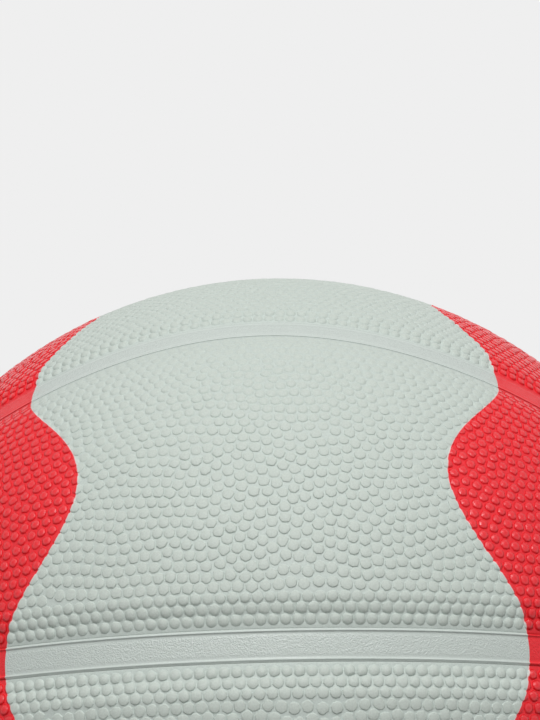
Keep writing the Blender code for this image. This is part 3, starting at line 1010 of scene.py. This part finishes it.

# %% [markdown]
# ## Cover rubber
#
# The pale rubber is matt, and between the pebbles it is painted a little darker and cooler, as painted shade.
# The red one is glossier: its tops are satin, the shoulders of its pebbles are polished and catch small
# glints, its gaps and tops are painted pinker than its own red, as painted sheen, and the walls below are
# painted deep red, as painted shade.
# A thin light line shows where the two meet. Two materials would need the mesh cut along the border, so one
# material reads the distance from it and keeps the pebbles whole.

# %% Colours of the cover
PALE_TOP = (0.625, 0.688, 0.634)
# between the pebbles a little darker and cooler than the tops: painted shade
PALE_GAP_PAINTED_SHADE = (0.614, 0.682, 0.638)
# the red tops and gaps are pinker than the rubber's own red: painted sheen
RED_WITH_PAINTED_SHEEN = (0.970, 0.040, 0.051)
RED_GAP_WITH_PAINTED_SHEEN = (0.930, 0.051, 0.063)
# the rubber's deep red, darkened on the walls: painted shade
RED_WALL_PAINTED_SHADE = (0.785, 0.009, 0.015)  # the sides of a pebble, between gap and top
BORDER_SOFTNESS = 0.00007
EDGE_LINE = (0.820, 0.760, 0.740)  # a thin light line where the two rubbers meet
EDGE_WIDTH = (0.00005, 0.00022)  # it fades between these distances from the border
EDGE_SHARE = 0.75
PALE_RISE = (0.1, 0.8)  # shares of a pebble's height between which the gap's colour passes into the top's
WALL_RISE = (0.10, 0.40)  # on the red, the gap's into the wall's
TOP_RISE = (0.60, 0.92)  # and the wall's into the top's
NOISE_CORE = (0.3, 0.7)  # where most of a noise's values lie
FLECK_DARK = (0.93, 0.93, 0.93)
FLECK_LIGHT = (1.04, 1.04, 1.04)


def red_share(tree):
    """0 on the pale rubber and 1 on the red."""
    return span(tree, number_of(tree, "red"), -BORDER_SOFTNESS, BORDER_SOFTNESS, 0.0, 1.0, True)


def cover_colour(tree, height, red, fleck):
    """Colour by the share of a pebble's height, from its gap to its top: painted shade in the pale gaps and
    on the red walls, painted sheen on the red gaps and tops.
    """
    pale = mixed(tree, span(tree, height, *PALE_RISE, 0.0, 1.0), PALE_GAP_PAINTED_SHADE, PALE_TOP)
    # on the red, the gap, wall and top colours are lit and shaded copies: painted sheen and painted shade
    wall = mixed(tree, span(tree, height, *WALL_RISE, 0.0, 1.0), RED_GAP_WITH_PAINTED_SHEEN, RED_WALL_PAINTED_SHADE)
    red_with_painted_light = mixed(tree, span(tree, height, *TOP_RISE, 0.0, 1.0), wall, RED_WITH_PAINTED_SHEEN)
    from_border = combined(tree, "ABSOLUTE", number_of(tree, "red"))
    line = span(tree, from_border, *EDGE_WIDTH, EDGE_SHARE, 0.0, True)
    colour = mixed(tree, line, mixed(tree, red, pale, red_with_painted_light), EDGE_LINE)
    flecks = mixed(tree, span(tree, fleck, *NOISE_CORE, 0.0, 1.0), FLECK_DARK, FLECK_LIGHT)
    return mixed(tree, 1.0, colour, flecks, "MULTIPLY")


print("pale tops", PALE_TOP, "and red tops", RED_WITH_PAINTED_SHEEN)

# %% Cover rubber
CLOUD_SCALE = 38.0
FLECK_SCALE = 2600.0
FLECK_DEPTH = 0.00004
SHOULDER_FROM = (0.50, 0.70)  # shares of its height where a pebble's wall turns into its shoulder
SHOULDER_TO = (0.90, 0.97)  # and its shoulder into its top
PALE_ROUGH = 0.50
RED_ROUGH = (0.45, 0.14, 0.36)  # wall, shoulder and top
CLOUD_ROUGH = 0.04
PALE_SHINE = 0.25
RED_SHINE = (0.01, 0.52, 0.25)
GAP_SHINE = 0.08
GAP_TO = 0.15  # share of the height where the gap ends
WHITE = (1.0, 1.0, 1.0)
RED_SHEEN = (1.000, 0.930, 0.960)


def by_height(tree, height, wall, shoulder, top):
    """A number that changes from the wall of a pebble to its shoulder and its top."""
    return span(tree, height, *SHOULDER_FROM, wall, span(tree, height, *SHOULDER_TO, shoulder, top))


def cover_material():
    material, tree, shader = new_material("cover_rubber")
    height = number_of(tree, "crown")
    red = red_share(tree)
    fleck = noise(tree, FLECK_SCALE, detail=3.0)
    rough = span(tree, red, 0.0, 1.0, PALE_ROUGH, by_height(tree, height, *RED_ROUGH))
    cloud = span(tree, noise(tree, CLOUD_SCALE), *NOISE_CORE, -CLOUD_ROUGH, CLOUD_ROUGH)
    low_shine = span(tree, height, 0.0, GAP_TO, GAP_SHINE, RED_SHINE[0])
    shine = span(tree, red, 0.0, 1.0, PALE_SHINE, by_height(tree, height, low_shine, *RED_SHINE[1:]))
    link(tree, shader, Base_Color=cover_colour(tree, height, red, fleck))
    link(tree, shader, Roughness=combined(tree, "ADD", rough, cloud), Normal=bump(tree, fleck, FLECK_DEPTH))
    link(tree, shader, Specular_IOR_Level=shine, Specular_Tint=mixed(tree, red, WHITE, RED_SHEEN))
    return material


cover = cover_material()
for piece in panels:
    piece.data.materials.append(cover)
print(cover.name, "on", len(panels), "panels,", len(cover.node_tree.nodes), "nodes")

# %% [markdown]
# ## Strip rubber
#
# The strips have no pebbles, but a fine leathery grain from the mould, which fades beside the beads. It is
# far smaller than a pebble, too fine for geometry, so here a bump does well: small rounded cells with a
# noise on top. On the red, the joint beside the bead and the bead's outer flank are painted dark, as painted
# shade.

# %% Strip rubber
STRIP_PALE = (0.626, 0.690, 0.650)
# dark red in the joint and on the bead's outer flank: painted shade
RED_JOINT_PAINTED_SHADE = (0.600, 0.006, 0.010)
GRAIN_SCALE = 3500.0
WRINKLE_SCALE = 2000.0
WRINKLE_SHARE = 0.8
GRAIN_DEPTH = 0.00014
GRAIN_EDGE = (0.0017, 0.0026)  # the grain fades between these distances from the middle
GRAIN_LEFT = 0.15  # the share of it that is left there
GRAIN_CORE = (0.3, 1.2)  # where most of the grain's heights lie
GRAIN_DARK = (0.94, 0.94, 0.94)
GRAIN_LIGHT = (1.03, 1.03, 1.03)
# the painted shade of the joint rises between these distances, on the bead's outer flank
JOINT_EDGE = (0.00312, 0.00338)  # where the joint beside a bead begins
STRIP_ROUGH = (0.27, 0.28)  # pale and red
STRIP_SHINE = (0.50, 0.22)


def strip_material():
    material, tree, shader = new_material("strip_rubber")
    red = red_share(tree)
    edge = number_of(tree, "edge")
    inputs = (("Vector", object_place(tree)), ("Scale", GRAIN_SCALE))
    cells = add_node(tree, "ShaderNodeTexVoronoi", inputs, feature="SMOOTH_F1").outputs["Distance"]
    folds = noise(tree, WRINKLE_SCALE, detail=3.0)
    wrinkle = combined(tree, "MULTIPLY_ADD", folds, WRINKLE_SHARE, cells)
    grain = combined(tree, "MULTIPLY", wrinkle, span(tree, edge, *GRAIN_EDGE, 1.0, GRAIN_LEFT, True))
    joint = span(tree, edge, *JOINT_EDGE, 0.0, 1.0, True)
    # on the red, the strip takes the cover's red with its painted sheen, and the joint's painted shade
    colour = mixed(tree, red, STRIP_PALE, mixed(tree, joint, RED_WITH_PAINTED_SHEEN, RED_JOINT_PAINTED_SHADE))
    shade = mixed(tree, span(tree, wrinkle, *GRAIN_CORE, 0.0, 1.0), GRAIN_DARK, GRAIN_LIGHT)
    link(tree, shader, Base_Color=mixed(tree, 1.0, colour, shade, "MULTIPLY"))
    link(tree, shader, Roughness=span(tree, red, 0.0, 1.0, *STRIP_ROUGH))
    link(tree, shader, Specular_IOR_Level=span(tree, red, 0.0, 1.0, *STRIP_SHINE))
    link(tree, shader, Normal=bump(tree, grain, GRAIN_DEPTH))
    return material


band = strip_material()
for piece in strips:
    piece.data.materials.append(band)
print(band.name, "on", len(strips), "strips,", len(band.node_tree.nodes), "nodes")

# %% [markdown]
# ## Valve, plug and inner layers
#
# The valve is a shade darker than the cover, and the plug is black. Inside are the black carcass, the butyl
# bladder and the nylon thread wound round it. They keep their solids and only get materials. The thread
# could be thousands of curves, but it is never seen from outside, so bands of fine lines that cross at three
# angles stand for it.

# %% Valve, plug and rubber layers
GRAIN = 2200.0
# dark and light colour, scale of the clouds, roughness, depth of the grain
RUBBERS = {
    "valve_rubber": ((0.38, 0.43, 0.39), (0.44, 0.50, 0.45), 300.0, (0.5, 0.6), 2e-5),
    "plug_rubber": ((0.022, 0.022, 0.022), (0.034, 0.034, 0.033), 400.0, (0.4, 0.55), 2e-5),
    "carcass_rubber": ((0.040, 0.040, 0.040), (0.055, 0.055, 0.054), 60.0, (0.6, 0.75), 4e-5),
    "bladder_butyl": ((0.016, 0.016, 0.016), (0.024, 0.024, 0.024), 50.0, (0.4, 0.55), 2e-5),
}


def plain_rubber(name, dark, light, scale, rough, depth):
    material, tree, shader = new_material(name)
    cloud = span(tree, noise(tree, scale, detail=4.0), *NOISE_CORE, 0.0, 1.0)
    link(tree, shader, Base_Color=mixed(tree, cloud, dark, light))
    link(tree, shader, Roughness=span(tree, noise(tree, scale * 3), *NOISE_CORE, *rough))
    link(tree, shader, Normal=bump(tree, noise(tree, GRAIN, detail=3.0), depth))
    return material


rubbers = {name: plain_rubber(name, *look) for name, look in RUBBERS.items()}
valve.data.materials.append(rubbers["valve_rubber"])
plug.data.materials.append(rubbers["plug_rubber"])
print("plain rubbers:", ", ".join(rubbers))

# %% Wound thread
THREAD_TURNS = ((0.3, 0.2, 0.0), (1.1, 0.5, 0.7), (0.6, 1.3, 2.0))
THREAD_SCALE = 420.0
THREAD_GAP = (0.45, 0.43, 0.38)
THREAD_TOP = (0.78, 0.76, 0.70)
THREAD_ROUGH = (0.7, 0.5)
THREAD_DEPTH = 0.0002


def winding_material():
    """Nylon thread: bands of fine lines that cross at several angles."""
    material, tree, shader = new_material("winding_nylon")
    threads = []
    for turn in THREAD_TURNS:
        inputs = (("Vector", object_place(tree)), ("Rotation", turn))
        place = add_node(tree, "ShaderNodeMapping", inputs).outputs[0]
        inputs = (("Vector", place), ("Scale", THREAD_SCALE), ("Distortion", 1.2), ("Detail", 1.0))
        threads.append(add_node(tree, "ShaderNodeTexWave", inputs).outputs["Fac"])
    weave = combined(tree, "MAXIMUM", combined(tree, "MAXIMUM", threads[0], threads[1]), threads[2])
    link(tree, shader, Base_Color=mixed(tree, weave, THREAD_GAP, THREAD_TOP))
    link(tree, shader, Roughness=span(tree, weave, 0.0, 1.0, *THREAD_ROUGH))
    link(tree, shader, Normal=bump(tree, weave, THREAD_DEPTH))
    return material


layers = {
    "carcass": rubbers["carcass_rubber"],
    "bladder": rubbers["bladder_butyl"],
    "winding": winding_material(),
}
for node, material in layers.items():
    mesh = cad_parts[node].data
    mesh.materials.clear()
    mesh.materials.append(material)
print("inner layers:", ", ".join(layers))

# %% [markdown]
# ## Stage
#
# The ball stands as in a studio, on pale paper that passes into a pale backdrop with no line between them. A
# curved sheet could be modelled. A wide disc that takes on the backdrop's brightness with its distance does
# the same and keeps the shadow beside the ball. Only rays that show something to the eye see that
# brightness. As sources of light, paper and backdrop stay dim.

# %% Paper floor
BACKDROP = (0.863, 0.863, 0.863)
FLOOR_RADIUS = 1.6
FLOOR_SIDES = 96
FLOOR_FADE = (0.15, 1.00)  # the floor passes into the backdrop between these distances from the ball
FLOOR_GLOW = 0.40  # share of the backdrop's white that the floor has beside the ball
PAPER_SEEN = (0.80, 0.80, 0.80)
PAPER_BOUNCE = (0.22, 0.22, 0.22)  # what the paper sends back as light
PAPER_ROUGH = 0.9


def ray_that_shows(tree):
    """1 for a ray that shows what it meets, straight, mirrored or through glass; 0 for other light."""
    path = add_node(tree, "ShaderNodeLightPath").outputs
    mirrored = combined(tree, "MAXIMUM", path["Is Camera Ray"], path["Is Glossy Ray"])
    return combined(tree, "MAXIMUM", mirrored, path["Is Transmission Ray"])


def even_light(tree, kind, colour, strength):
    return add_node(tree, kind, (("Color", (*colour, 1.0)), ("Strength", strength))).outputs[0]


def shader_mix(tree, share, first, second):
    return add_node(tree, "ShaderNodeMixShader", ((0, share), (1, first), (2, second))).outputs[0]


angle = np.arange(FLOOR_SIDES) * 2 * math.pi / FLOOR_SIDES
corners = [(FLOOR_RADIUS * math.cos(turn), FLOOR_RADIUS * math.sin(turn), foot_height) for turn in angle]
floor_mesh = bpy.data.meshes.new("floor")
floor_mesh.from_pydata(corners, [], [list(range(FLOOR_SIDES))])
floor = bpy.data.objects.new("floor", floor_mesh)
bpy.context.scene.collection.objects.link(floor)
paper, tree, shader = new_material("floor_paper")
shader.inputs["Roughness"].default_value = PAPER_ROUGH
seen = ray_that_shows(tree)
link(tree, shader, Base_Color=mixed(tree, seen, PAPER_BOUNCE, PAPER_SEEN))
length = add_node(tree, "ShaderNodeVectorMath", ((0, object_place(tree)),), operation="LENGTH")
fade = span(tree, length.outputs["Value"], *FLOOR_FADE, FLOOR_GLOW, 1.0, True)
glow = combined(tree, "MULTIPLY", seen, fade)
sheet = shader_mix(tree, glow, shader.outputs[0], even_light(tree, "ShaderNodeEmission", BACKDROP, 1.0))
tree.links.new(sheet, tree.nodes["Material Output"].inputs["Surface"])
floor_mesh.materials.append(paper)
print(f"paper floor {2 * FLOOR_RADIUS:.1f} m across, at the foot of the ball")

# %% Backdrop
AMBIENT = 0.205

world = bpy.data.worlds.new("studio")
bpy.context.scene.world = world
world.use_nodes = True
tree = world.node_tree
tree.nodes.clear()
ambient = even_light(tree, "ShaderNodeBackground", WHITE, AMBIENT)
backdrop = even_light(tree, "ShaderNodeBackground", BACKDROP, 1.0)
sky = shader_mix(tree, ray_that_shows(tree), ambient, backdrop)
tree.links.new(sky, add_node(tree, "ShaderNodeOutputWorld").inputs["Surface"])
print("backdrop", BACKDROP, "with an even light of", AMBIENT)

# %% [markdown]
# ## Lights and camera
#
# A large lamp above the front gives the soft main light, and a smaller one from the side models the pebbles.
# A very small lamp makes the glints on the red shoulders, which a large one would smear. A lamp at the back
# is for views from there, and the ball does not mirror it. The camera is near and almost level, and sees the
# upper part of the ball.

# %% Lamps
def area_light(name, place, size, power, mirrored=True):
    lamp = bpy.data.lights.new(name, "AREA")
    lamp.size = size
    lamp.energy = power
    light = bpy.data.objects.new(name, lamp)
    light.location = place
    light.rotation_euler = (-Vector(place)).to_track_quat("-Z", "Y").to_euler()
    light.visible_glossy = mirrored
    bpy.context.scene.collection.objects.link(light)


area_light("key", (-0.10, -0.63, 1.07), size=1.0, power=7.4)
area_light("side", (0.60, -0.50, 0.94), size=0.22, power=1.3)
area_light("spark", (0.03, -0.83, 0.90), size=0.07, power=2.60)
area_light("back", (0.30, 1.20, 0.20), size=0.8, power=4.0, mirrored=False)
print("lamps:", ", ".join(lamp.name for lamp in bpy.data.lights))

# %% Camera
SENSOR_WIDTH = 36.0  # millimetres, as the lens
LENS = 85.645
CAMERA_PLACE = (0.01203, -0.46956, 0.10815)
CAMERA_TURN = (88.779, 1.834, 1.370)  # degrees

camera_data = bpy.data.cameras.new("camera")
camera_data.sensor_width = SENSOR_WIDTH
camera_data.lens = LENS
camera = bpy.data.objects.new("camera", camera_data)
camera.location = CAMERA_PLACE
camera.rotation_euler = [math.radians(turn) for turn in CAMERA_TURN]
bpy.context.scene.collection.objects.link(camera)
bpy.context.scene.camera = camera
bpy.context.scene.view_settings.view_transform = "Standard"
print(f"camera {camera.location.length:.2f} m from the middle of the ball, with a {LENS:.0f} mm lens")
